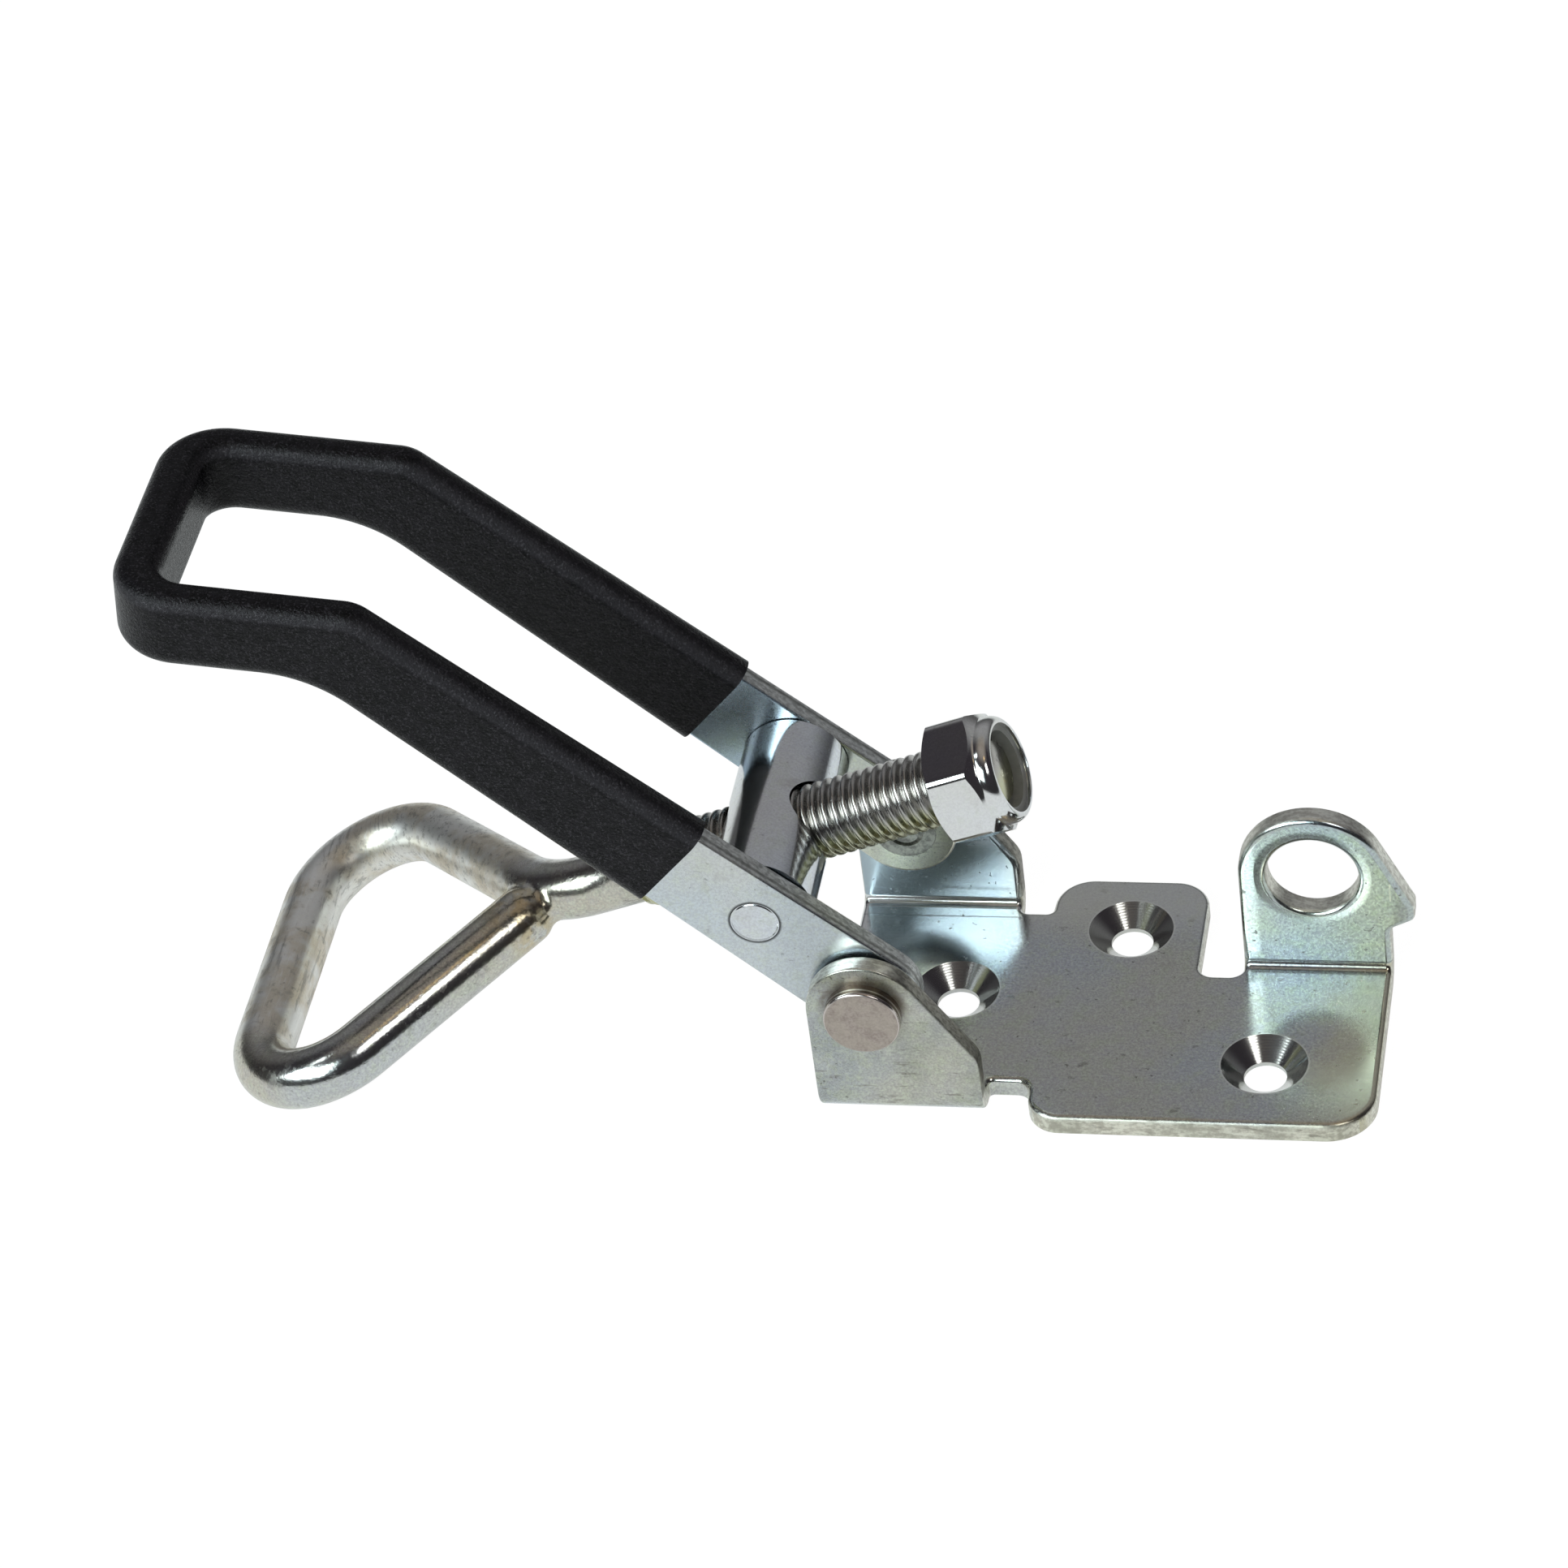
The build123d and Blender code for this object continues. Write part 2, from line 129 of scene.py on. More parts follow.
paper_near = 1.3                     # brightness of the floor in reflections
paper_far = 0.3
paper_fall = (0.25, 1.1)             # metres over which it falls off
paper_front = 0.15                   # its bright middle lies this far in front of the latch
paper_stretch = 0.8                  # and is wider along the plate than across it
paper_tint = colour(0.96, 1.0, 1.0)
paper_share = 0.4                    # the rest is real paper, which takes shadows
floor_matt = colour(0.8, 0.8, 0.8)
floor_white = 1.13                   # strength of the white that the camera sees
floor_cover = 0.86                   # and its share: the rest shows the shadow
floor_half = 6.0
floor_drop = 0.02 * MM               # gap below the latch
white = colour(1, 1, 1)
room_front = colour(0.035, 0.031, 0.037)
room_rear = colour(0.295, 0.30, 0.312)
room_top = colour(0.30, 0.27, 0.24)
room_line = colour(0.03, 0.03, 0.03)
rear_turn = (100.0, 155.0)           # degrees round the object, from the front to the rear
line_rise = (2.0, 35.0)              # degrees above the floor, where the dark line fades
line_share = 0.75
top_rise = (50.0, 80.0)              # and where the top of the room begins
# from and to round the object, from and to above the floor, softness, colour
soft_boxes = [
    (-12, -3.0, 20, 46, 2.0, colour(0.48, 0.62, 0.66)),
    (-68, -9.6, 20, 43.5, 1.2, colour(5.6, 6.3, 6.4)),
    (-74, -62, 50, 58, 2.0, colour(3.8, 4.2, 4.2)),
    (27, 50, 41, 57, 1.5, colour(4.4, 4.4, 4.3)),
    (26, 52, 66, 72, 2.0, colour(1.1, 0.8, 0.42)),
]

# ---- colours ------------------------------------------------------------
# the plating
violet_haze = colour(0.58, 0.56, 0.66)
green_haze = colour(0.64, 0.70, 0.52)
tan_stain = colour(0.42, 0.39, 0.33)
grain_dark = colour(0.24, 0.22, 0.24)
fleck_pale = colour(0.78, 0.84, 0.72)
speck_dark = colour(0.16, 0.15, 0.14)

# the base plate
plate_cool = colour(0.62, 0.66, 0.69)
plate_warm = colour(0.66, 0.66, 0.60)
# painted reflections by the rear ear
plate_reflection_silver = colour(0.93, 0.94, 0.95)
ear_reflection_blue = colour(0.38, 0.48, 0.56)
passivation = colour(0.70, 0.64, 0.44)
lug_shade = colour(0.86, 0.94, 0.97)
tab_pale = colour(0.78, 0.78, 0.73)
plate_cut_dark = colour(0.64, 0.61, 0.54)
plate_cut_pale = colour(1.0, 0.99, 0.90)
# painted shade on the ears' cut edges that face the lug
shaded_ear_cut_dark = colour(0.17, 0.155, 0.13)
shaded_ear_cut_pale = colour(0.42, 0.40, 0.34)
ear_patch_dark = colour(0.76, 0.76, 0.72)
ear_patch_pale = colour(0.90, 0.89, 0.86)
ear_crown_shade = colour(0.78, 0.75, 0.68)
scrape_dark = colour(0.20, 0.18, 0.15)
cone_steel = colour(0.62, 0.62, 0.59)
cone_lip_highlight = colour(0.80, 0.80, 0.76)
fold_groove_shade = colour(0.12, 0.12, 0.12)
lug_fold_groove_shade = colour(0.16, 0.16, 0.16)
lug_crease_highlight = colour(0.85, 0.85, 0.82)
# painted shadow round the rivet heads
rivet_shadow_brown = colour(0.17, 0.125, 0.08)

# the lever and the trunnion bar
lever_cool = colour(0.70, 0.76, 0.80)
lever_warm = colour(0.73, 0.75, 0.74)
inner_arm_shade_blue = colour(0.66, 0.77, 0.88)
arm_cream = colour(0.94, 0.92, 0.80)
arm_shade = colour(0.84, 0.84, 0.84)
lever_cut_dark = colour(0.54, 0.55, 0.54)
lever_cut_pale = colour(0.98, 1.0, 0.99)
bite_dark = colour(0.14, 0.14, 0.125)
gap_painted_shade = colour(0.06, 0.06, 0.06)
bar_cool = colour(0.75, 0.79, 0.84)
bar_warm = colour(0.77, 0.77, 0.77)

# the draw rod and the lock nut
rod_cool = colour(0.64, 0.66, 0.66)
rod_warm = colour(0.66, 0.62, 0.52)
dull_pale = colour(1.0, 0.99, 0.96)
dull_tan = colour(0.80, 0.72, 0.60)
stroke_dark = colour(0.22, 0.21, 0.20)
stroke_pale = colour(1.0, 1.0, 0.98)
thread_grey = colour(0.42, 0.40, 0.385)
# painted reflection on the underside of the thread
thread_underside_reflection = colour(0.57, 0.57, 0.35)
weld_tan = colour(0.62, 0.48, 0.26)
pit_dark = colour(0.24, 0.23, 0.21)
nut_cool = colour(0.82, 0.83, 0.85)
nut_warm = colour(0.81, 0.80, 0.78)
nylon_dark = colour(0.30, 0.31, 0.29)
nylon_pale = colour(0.42, 0.42, 0.39)

# the rivets and the grip
rivet_dark = colour(0.36, 0.30, 0.27)
rivet_pink = colour(0.50, 0.43, 0.39)
rivet_cloud = colour(0.56, 0.50, 0.43)
# painted highlights on the rivet heads
rivet_rim_highlight = colour(0.62, 0.56, 0.53)
rivet_rim_dark = colour(0.22, 0.18, 0.16)
rivet_step_highlight = colour(0.80, 0.76, 0.74)
tail_dark = colour(0.30, 0.30, 0.28)
tail_pale = colour(0.58, 0.59, 0.54)
vinyl_black = colour(0.001, 0.001, 0.0015)
vinyl_soft = colour(0.007, 0.006, 0.008)
vinyl_glint = colour(0.04, 0.036, 0.042)
# painted sheen on the grip's upper edges
vinyl_sheen = colour(0.070, 0.066, 0.074)


# ---- node graphs --------------------------------------------------------
class Wire:
    """An output socket, on which arithmetic adds Math nodes."""

    def __init__(self, graph, socket):
        self.graph = graph
        self.socket = socket

    def math(self, operation, *others):
        values = [self, *others]
        return self.graph.add("ShaderNodeMath", {"operation": operation}, dict(enumerate(values)))

    def __add__(self, other):
        return self.math("ADD", other)

    def __sub__(self, other):
        return self.math("SUBTRACT", other)

    def __mul__(self, other):
        return self.math("MULTIPLY", other)

    def __truediv__(self, other):
        return self.math("DIVIDE", other)

    def __rsub__(self, other):
        return self * -1.0 + other

    def __lt__(self, other):
        return self.math("LESS_THAN", other)

    def __gt__(self, other):
        return self.math("GREATER_THAN", other)

    def __abs__(self):
        return self.math("ABSOLUTE")

    __radd__ = __add__
    __rmul__ = __mul__


class Graph:
    """Adds nodes to a tree."""

    def __init__(self, tree):
        self.tree = tree

    def add(self, kind, settings=None, inputs=None, out=0):
        node = self.tree.nodes.new(kind)
        for name, value in (settings or {}).items():
            setattr(node, name, value)
        for name, value in (inputs or {}).items():
            if isinstance(value, Wire):
                self.tree.links.new(value.socket, node.inputs[name])
            else:
                node.inputs[name].default_value = value
        return Wire(self, node.outputs[out])

    def split(self, vector):
        wire = self.add("ShaderNodeSeparateXYZ", None, {0: vector})
        return [Wire(self, socket) for socket in wire.socket.node.outputs]

    def join(self, x, y, z):
        return self.add("ShaderNodeCombineXYZ", None, {0: x, 1: y, 2: z})

    def vector(self, operation, a, b=None, out=0):
        inputs = {0: a} if b is None else {0: a, 1: b}
        return self.add("ShaderNodeVectorMath", {"operation": operation}, inputs, out)

    def reach(self, a, b):
        """Distance from an axis, from the distances in two directions."""
        return self.vector("LENGTH", self.join(a, b, 0.0), None, "Value")

    def blend(self, share, a, b, kind="MIX"):
        settings = {"data_type": "RGBA", "blend_type": kind}
        return self.add("ShaderNodeMix", settings, {0: share, 6: a, 7: b}, 2)

    def noise(self, place, scale, detail=2.0, roughness=0.5):
        """Noise of a scale in waves a metre."""
        inputs = {"Vector": place, "Scale": scale, "Detail": detail, "Roughness": roughness}
        return self.add("ShaderNodeTexNoise", None, inputs)

    def step(self, value, low, high, bottom=0.0, top=1.0):
        """Smooth step of a value between two limits."""
        inputs = {
            "Value": value,
            "From Min": low,
            "From Max": high,
            "To Min": bottom,
            "To Max": top,
        }
        return self.add("ShaderNodeMapRange", {"interpolation_type": "SMOOTHSTEP"}, inputs)

    def ring(self, distance, radius, width):
        """1 on a circle of a radius, 0 further from it than a width."""
        return self.step(abs(distance - radius), 0.0, width, 1.0, 0.0)


class Coat:
    """The tint, roughness and relief of a finish, built up in layers."""

    def __init__(self, graph, tint, rough, height=0.0):
        self.graph = graph
        self.tint = tint
        self.rough = rough
        self.height = height

    def stain(self, share, tint):
        self.tint = self.graph.blend(share, self.tint, tint)

    def darken(self, share, tint):
        self.tint = self.graph.blend(share, self.tint, tint, "MULTIPLY")

    def plastic(self, depth, strength=1.0):
        """What the shader's sockets get, with relief over a depth in metres."""
        bump = {"Height": self.height, "Distance": depth, "Strength": strength}
        return {
            "Base Color": self.tint,
            "Roughness": self.rough,
            "Normal": self.graph.add("ShaderNodeBump", None, bump),
        }

    def metal(self, depth, strength=1.0):
        return {**self.plastic(depth, strength), "Metallic": 1.0}


def material(name, paint):
    """A material whose shader gets what paint returns: sockets by name."""
    made = bpy.data.materials.new(name)
    made.use_nodes = True
    graph = Graph(made.node_tree)
    shader = made.node_tree.nodes["Principled BSDF"]
    place = graph.add("ShaderNodeTexCoord", out="Object")
    normal = graph.add("ShaderNodeNewGeometry", out="Normal")
    for socket, value in paint(graph, place, normal).items():
        if isinstance(value, Wire):
            made.node_tree.links.new(value.socket, shader.inputs[socket])
        else:
            shader.inputs[socket].default_value = value
    return made


# ---- finishes -----------------------------------------------------------
def plated_skin(graph, place, cool, warm, roughness, speckle=1.0):
    """Zinc plate: cool and warm tints in wide clouds, fine speckle and small dark specks."""
    clouds = graph.step(graph.noise(place, 38.0, 3.0), 0.38, 0.64)
    coat = Coat(graph, graph.blend(clouds, cool, warm), roughness)
    hue = graph.noise(place, 330.0, 3.0, 0.6)
    coat.stain(graph.step(hue, 0.36, 0.48, 0.22 * speckle, 0.0), violet_haze)
    coat.stain(graph.step(hue, 0.52, 0.64, 0.0, 0.36 * speckle), green_haze)
    dulled = graph.step(graph.noise(place, 210.0, 4.0, 0.6), 0.56, 0.74)
    coat.stain(dulled * 0.3, tan_stain)
    grain = graph.noise(place, 2600.0, 3.0, 0.7)
    coat.stain(graph.step(grain, 0.38, 0.62, 0.36 * speckle, 0.0), grain_dark)
    flecks = graph.noise(place, 1700.0, 2.0, 0.6)
    coat.stain(graph.step(flecks, 0.5, 0.64, 0.0, 0.36 * speckle), fleck_pale)
    dots = graph.step(graph.noise(place, 900.0, 2.0), 0.68, 0.75)
    stretched = graph.vector("MULTIPLY", place, Vector((0.4, 0.6, 1.3)))
    dashes = graph.step(graph.noise(stretched, 800.0, 3.0, 0.6), 0.66, 0.72)
    specks = dots.math("MAXIMUM", dashes * 0.7)
    coat.stain(specks * 0.6 * speckle, speck_dark)
    coat.rough = roughness + (grain - 0.5) * 0.14 * speckle + (clouds - 0.5) * 0.04
    coat.rough = coat.rough + specks * 0.2 * speckle
    return coat, grain


def shear(coat, place, along, edge, dark, pale):
    """Makes the cut edges of the sheet duller, with streaks along them and fine tears."""
    graph = coat.graph
    run = graph.vector("DOT_PRODUCT", place, along, "Value")
    _, y, z = graph.split(place)
    streaks = graph.noise(graph.join(run * 0.2, y, z * 0.6), 1900.0, 3.0, 0.65)
    tears = graph.noise(place, 1400.0, 3.0, 0.6)
    cut = graph.blend(graph.step(streaks * 0.6 + tears * 0.4, 0.40, 0.60), dark, pale)
    coat.stain(edge * 0.85, cut)
    coat.rough = coat.rough + edge * 0.24
    return streaks


def plate_finish(graph, place, normal):
    """Satin zinc of the folded plate, with its cut edges, screw holes, folds, lug and a painted shadow round the
    rivet heads.
    """
    coat, grain = plated_skin(graph, place, plate_cool, plate_warm, 0.18)
    x, y, z = graph.split(place)
    nx, ny, nz = graph.split(normal)
    low = z < upright_from
    tint_plate(coat, place, low)

    # cut edges: the upright faces of the flat, and the faces of the ears and the lug that don't look across the
    # latch. The fold of an ear is no cut edge, so on the flat a face that looks across counts only when it lies
    # past the ears. The ears' cut edges that face towards the lug, away from the soft boxes, get darker colours as
    # painted shade.
    across = graph.step(abs(ny), 0.35, 0.75)
    outer = 1 - across
    past_ears = abs(y) > ear_outer + 0.4 * MM
    side = graph.step(abs(nz), 0.35, 0.75, 1.0, 0.0)
    side = side * (outer + past_ears).math("MINIMUM", 1.0)
    edge = low * side + (1 - low) * outer
    # painted shade: darker cut colours on the ears' edges that face the lug
    ears = (x < ears_end) * (1 - low) * graph.step(nx, 0.3, 0.75)
    dark = graph.blend(ears, plate_cut_dark, shaded_ear_cut_dark)
    pale = graph.blend(ears, plate_cut_pale, shaded_ear_cut_pale)
    streaks = shear(coat, place, Vector((1, 0, 0)), edge, dark, pale)
    coat.height = grain * 0.15 + edge * streaks * 0.3

    outside = across * (abs(y) > ear_outer - 0.6 * MM)
    wear_ears(coat, place, outside)
    for hole in screw_holes:
        machine_countersink(coat, place, hole, grain)
    mark_folds(coat, place)
    soften_lug(coat, place)
    paint_rivet_shadow(coat, place, outside)
    return coat.metal(0.03 * MM)


def tint_plate(coat, place, low):
    """Wide tints of the plate, its ears and its lug, from end to end, with painted reflections by the rear ear."""
    graph = coat.graph
    x, y, _ = graph.split(place)
    # painted reflections: a silver patch on the flat by the rear ear, where the flat mirrors the lit ear, and a
    # bluish tint on the rear ear
    rear_left = graph.step(y, 2 * MM, 14 * MM) * graph.step(x, 12 * MM, 20 * MM, 1.0, 0.0)
    coat.stain(rear_left * low * 0.7, plate_reflection_silver)
    coat.stain(rear_left * (1 - low) * 0.8, ear_reflection_blue)
    # yellow passivation towards the end with the padlock lug
    wander = graph.noise(place, 60.0, 2.0) * (14 * MM)
    yellow = graph.step(x + wander, right_edge - 8 * MM, right_edge + 6 * MM)
    coat.stain(yellow * (0.08 + low * 0.5), passivation)
    # a bluish lug and a pale rear tab
    coat.darken((1 - low) * (x > lug_end_from), lug_shade)
    tab = graph.step(y, 12 * MM, 22 * MM) * (x > tab_left) * low
    coat.stain(tab * 0.6, tab_pale)


def wear_ears(coat, place, outside):
    """Makes the outer faces of the ears duller, patchy and scraped."""
    graph = coat.graph
    x, y, z = graph.split(place)
    coat.rough = coat.rough + outside * 0.12
    patches = graph.step(graph.noise(place, 150.0, 4.0, 0.65), 0.36, 0.62)
    coat.darken(outside, graph.blend(patches, ear_patch_dark, ear_patch_pale))
    crown = graph.step(z, pivot.z + 2 * MM, pivot.z + 7 * MM)
    coat.darken(outside * crown, ear_crown_shade)
    scrapes = graph.step(graph.noise(graph.join(x * 0.2, y, z), 1100.0, 3.0, 0.7), 0.58, 0.68)
    coat.stain(scrapes * outside * 0.5, scrape_dark)


def machine_countersink(coat, place, hole, grain):
    """The cone of a screw hole, with its tool marks and a painted highlight round its lip."""
    graph = coat.graph
    x, y, z = graph.split(place)
    reach = graph.reach(x - hole.x, y - hole.y)
    cone = (reach < countersink_r) * (z > 0.1 * MM)
    marks = (reach * (2 * pi / tool_mark_pitch)).math("SINE")
    coat.stain(cone * 0.8, cone_steel)
    coat.rough = coat.rough * (1 - cone) + cone * 0.15
    coat.height = coat.height * (1 - cone) + cone * (marks * 0.03 + grain * 0.1)
    # painted highlight round the lip of the cone
    lip = graph.ring(reach, countersink_r + 0.12 * MM, 0.28 * MM) * (z > plate_top)
    coat.stain(lip * 0.7, cone_lip_highlight)


def mark_folds(coat, place):
    """Lines that the folding tool left beside each fold, sunk as relief and darkened with painted shade."""
    graph = coat.graph
    x, y, z = graph.split(place)
    beside_ears = (x < ear_right) * (z > plate_top) * (z < sheet * 1.6)
    # place, width and depth of each line
    lines = (
        (fold_inner - 0.1 * MM, 0.15 * MM, 0.35),
        (fold_inner - 2.2 * MM, 0.2 * MM, 0.4),
    )
    for line, width, strength in lines:
        mark = graph.ring(abs(y), line, width) * beside_ears
        coat.height = coat.height - mark * strength
        # painted shade in the groove
        coat.stain(mark * strength * 0.7, fold_groove_shade)
    on_lug = (abs(y - lug_face) < 1.0 * MM) * (x > lug_left)
    mark = graph.ring(z, sheet + 1.25 * MM, 0.2 * MM) * on_lug
    coat.height = coat.height - mark
    # painted shade in the groove of the lug's fold
    coat.stain(mark * 0.6, lug_fold_groove_shade)


def soften_lug(coat, place):
    """Lets the lug's front face fall away round its hole and along its left side, and paints a highlight along the
    crease at its right edge.
    """
    graph = coat.graph
    x, _, z = graph.split(place)
    lug = graph.step(z, sheet + 1 * MM, sheet + 4 * MM) * (x > lug_left - 1 * MM)
    reach = graph.reach(x - padlock_hole.x, z - padlock_hole.z)
    pillow = graph.step(reach, lug_hole_r, lug_hole_r + 2.2 * MM)
    pillow = pillow.math("MINIMUM", graph.step(x, lug_left, lug_left + 3.0 * MM))
    coat.height = coat.height - (1 - pillow) * lug * 3.0
    # painted highlight along the crease at the lug's right edge
    crease = graph.ring(x, right_edge + 0.4 * MM, 0.2 * MM)
    crease = crease * (abs(z - lug_crease_height) < 1.8 * MM) * lug
    coat.stain(crease * 0.6, lug_crease_highlight)


def paint_rivet_shadow(coat, place, outside):
    """Painted shadow round the heads of the rivets, thicker above them."""
    graph = coat.graph
    x, _, z = graph.split(place)
    reach = graph.reach(x - pivot.x, z - pivot.z)
    upper = graph.step(z, pivot.z, pivot.z + 3 * MM, 0.35, 1.0)
    rivet_shadow = graph.step(reach, rivet_head_r + 0.2 * MM, rivet_head_r + 1.9 * MM, 1.0, 0.0)
    rivet_shadow = rivet_shadow * upper * outside * (x < ear_right)
    rivet_shadow = rivet_shadow * graph.step(graph.noise(place, 300.0, 3.0, 0.6), 0.34, 0.58, 0.35, 1.0)
    coat.stain(rivet_shadow * 0.75, rivet_shadow_brown)
    coat.rough = coat.rough + rivet_shadow * 0.3


def lever_finish(graph, place, normal):
    """Satin zinc of the bent strip, with its sheared edges, and painted shade inside the arms, by the pivot and in
    the gap round the trunnion bar.
    """
    coat, grain = plated_skin(graph, place, lever_cool, lever_warm, 0.27, 0.6)
    x, y, z = graph.split(place)
    _, ny, _ = graph.split(normal)
    edge = graph.step(abs(ny), 0.3, 0.7, 1.0, 0.0)
    inside = (abs(y) < arm_outer - sheet * 0.5) * (1 - edge)
    # painted shade, bluish, on the inner faces of the arms; cream towards the pivot inside, and painted shade on
    # the outer faces towards the pivot
    near_pivot = graph.step(x, -17 * MM, -7 * MM)
    coat.darken(inside * (1 - near_pivot), inner_arm_shade_blue)
    coat.darken(inside * near_pivot, arm_cream)
    coat.darken((1 - inside) * near_pivot, arm_shade)
    along = Vector((cos(lever_rise), 0, -sin(lever_rise)))
    streaks = shear(coat, place, along, edge, lever_cut_dark, lever_cut_pale)
    # a dark line where the shear first bit, near the outer face
    bite = graph.ring(abs(y), arm_outer - 1.1 * MM, 0.55 * MM) * edge
    coat.stain(bite * 0.6, bite_dark)
    # painted shade in the gap round each end of the trunnion bar
    reach = graph.reach(x - trunnion.x, z - trunnion.z)
    gap = graph.ring(reach, journal_r + 0.1 * MM, 0.45 * MM)
    coat.stain(gap * 0.9, gap_painted_shade)
    coat.rough = coat.rough + gap * 0.3
    coat.height = grain * 0.3 + edge * streaks * 0.5
    return coat.metal(0.03 * MM, 0.5)


def turned_finish(graph, place, normal):
    """Bright plated steel of the trunnion bar, with faint turning marks across it."""
    coat, grain = plated_skin(graph, place, bar_cool, bar_warm, 0.13, 0.5)
    x, y, z = graph.split(place)
    marks = graph.noise(graph.join(x * 0.1, y, z * 0.1), 2200.0, 2.0)
    # small chamfer on the ends that show in the arms
    reach = graph.reach(x - trunnion.x, z - trunnion.z)
    rim = graph.step(reach, journal_r - 0.5 * MM, journal_r, 1.0, 0.0)
    rim = rim * (abs(y) > arm_outer - 0.3 * MM)
    coat.height = grain * 0.1 + marks * 0.06 + rim * 12.0
    return coat.metal(0.02 * MM)


def rod_finish(graph, place, normal):
    """Bright plated rod: glossy, with small pits, drawing lines and dull clouds."""
    coat, _ = plated_skin(graph, place, rod_cool, rod_warm, 0.18, 0.8)
    x, y, z = graph.split(place)
    offset = graph.vector("SUBTRACT", place, trunnion)
    run = graph.vector("DOT_PRODUCT", offset, rod_direction, "Value")
    threaded = graph.step(run, thread_start - 2 * MM, thread_start + 2 * MM)
    bar = 1 - threaded

    # the far leg and the closed side of the loop are duller than the near leg
    closed = graph.step(run, loop_far + 9 * MM, loop_far + 15 * MM, 1.0, 0.0)
    wander = (graph.noise(place, 55.0, 2.0) - 0.5) * (20 * MM)
    far_leg = graph.step(y + wander, -2 * MM, 8 * MM)
    far_side = closed * graph.step(y, -24 * MM, -16 * MM)
    dull = far_leg.math("MAXIMUM", far_side) * bar
    strokes = graph.noise(graph.join(x, y * (0.8 - closed * 0.68), z), 900.0, 4.0, 0.7)
    patches = graph.step(graph.noise(place, 120.0, 3.0, 0.6), 0.42, 0.60)
    coat.stain(dull * 0.7, graph.blend(patches, dull_pale, dull_tan))
    coat.stain(dull * graph.step(strokes, 0.36, 0.48, 0.45, 0.0), stroke_dark)
    coat.stain(dull * graph.step(strokes, 0.54, 0.66, 0.0, 0.4), stroke_pale)

    # painted yellow-green reflection on the underside of the thread, the rest of the thread grey
    below = z - trunnion.z - run * rod_direction.z
    underside_reflection = graph.step(below, -1.6 * MM, 1.2 * MM, 1.0, 0.0)
    coat.stain(threaded * 0.75, graph.blend(underside_reflection, thread_grey, thread_underside_reflection))

    # small lumps and tan heat tints on the weld
    weld_place = trunnion + rod_direction * weld_run + Vector((0, weld_side, 0))
    weld_reach = graph.vector("DISTANCE", place, weld_place, "Value")
    weld = graph.step(weld_reach, 3.5 * MM, 8 * MM, 1.0, 0.0)
    lumps = graph.noise(place, 330.0, 2.0, 0.5)
    coat.stain(weld * graph.step(lumps, 0.40, 0.56, 0.0, 0.7), weld_tan)

    # pits, scuffs, shallow dents and the skin left by drawing
    pits = graph.step(graph.noise(place, 520.0, 3.0, 0.6), 0.60, 0.72)
    scuffs = graph.step(graph.noise(place, 240.0, 4.0, 0.7), 0.56, 0.70)
    dents = graph.noise(place, 160.0, 2.0)
    peel = graph.noise(place, 1900.0, 2.0, 0.6) * 0.4 * bar
    coat.stain((pits * 0.4 + scuffs * 0.3) * bar, pit_dark)
    coat.rough = coat.rough + pits * 0.1 + scuffs * 0.12 + dull * 0.2 + threaded * 0.05
    coat.height = dents + weld * lumps * 5.0 - pits * 0.25 + peel
    return coat.metal(0.12 * MM, 0.4)


def nut_finish(graph, place, normal):
    """Bright zinc, almost without speckle."""
    coat, grain = plated_skin(graph, place, nut_cool, nut_warm, 0.1, 0.3)
    coat.height = grain
    return coat.metal(0.01 * MM, 0.25)


def rivet_finish(graph, place, normal):
    """Dull pinkish steel, finely mottled. The side of the head is polished darker, with a painted highlight on its
    rounded rim.
    """
    _, y, _ = graph.split(place)
    _, ny, _ = graph.split(normal)
    face = graph.step(abs(ny), 0.8, 0.97)
    mottle = graph.noise(place, 900.0, 4.0, 0.65)
    fine = graph.noise(place, 2600.0, 2.0, 0.6)
    texture = mottle * 0.5 + fine * 0.5
    steel = graph.blend(graph.step(texture, 0.36, 0.64), rivet_dark, rivet_pink)
    cloud = graph.step(graph.noise(place, 420.0, 3.0, 0.6), 0.38, 0.62)
    steel = graph.blend(cloud * 0.4, steel, rivet_cloud)
    middle = 1 - graph.step(abs(ny), 0.02, 0.1)
    # painted highlight on the rounded rim between the face and the side
    rim = graph.blend(middle, rivet_rim_highlight, rivet_rim_dark)
    coat = Coat(graph, graph.blend(face, rim, steel), 0.2 + face * 0.28, texture)
    # a painted highlight on a step half way down the side of the head, and plated tails inside the arms
    coat.stain(graph.ring(abs(y), rivet_step, 0.25 * MM) * (1 - face), rivet_step_highlight)
    tail = graph.step(abs(y), 20 * MM, 22 * MM, 1.0, 0.0)
    coat.stain(tail, graph.blend(graph.step(mottle, 0.36, 0.60), tail_dark, tail_pale))
    return coat.metal(0.03 * MM, 0.3)


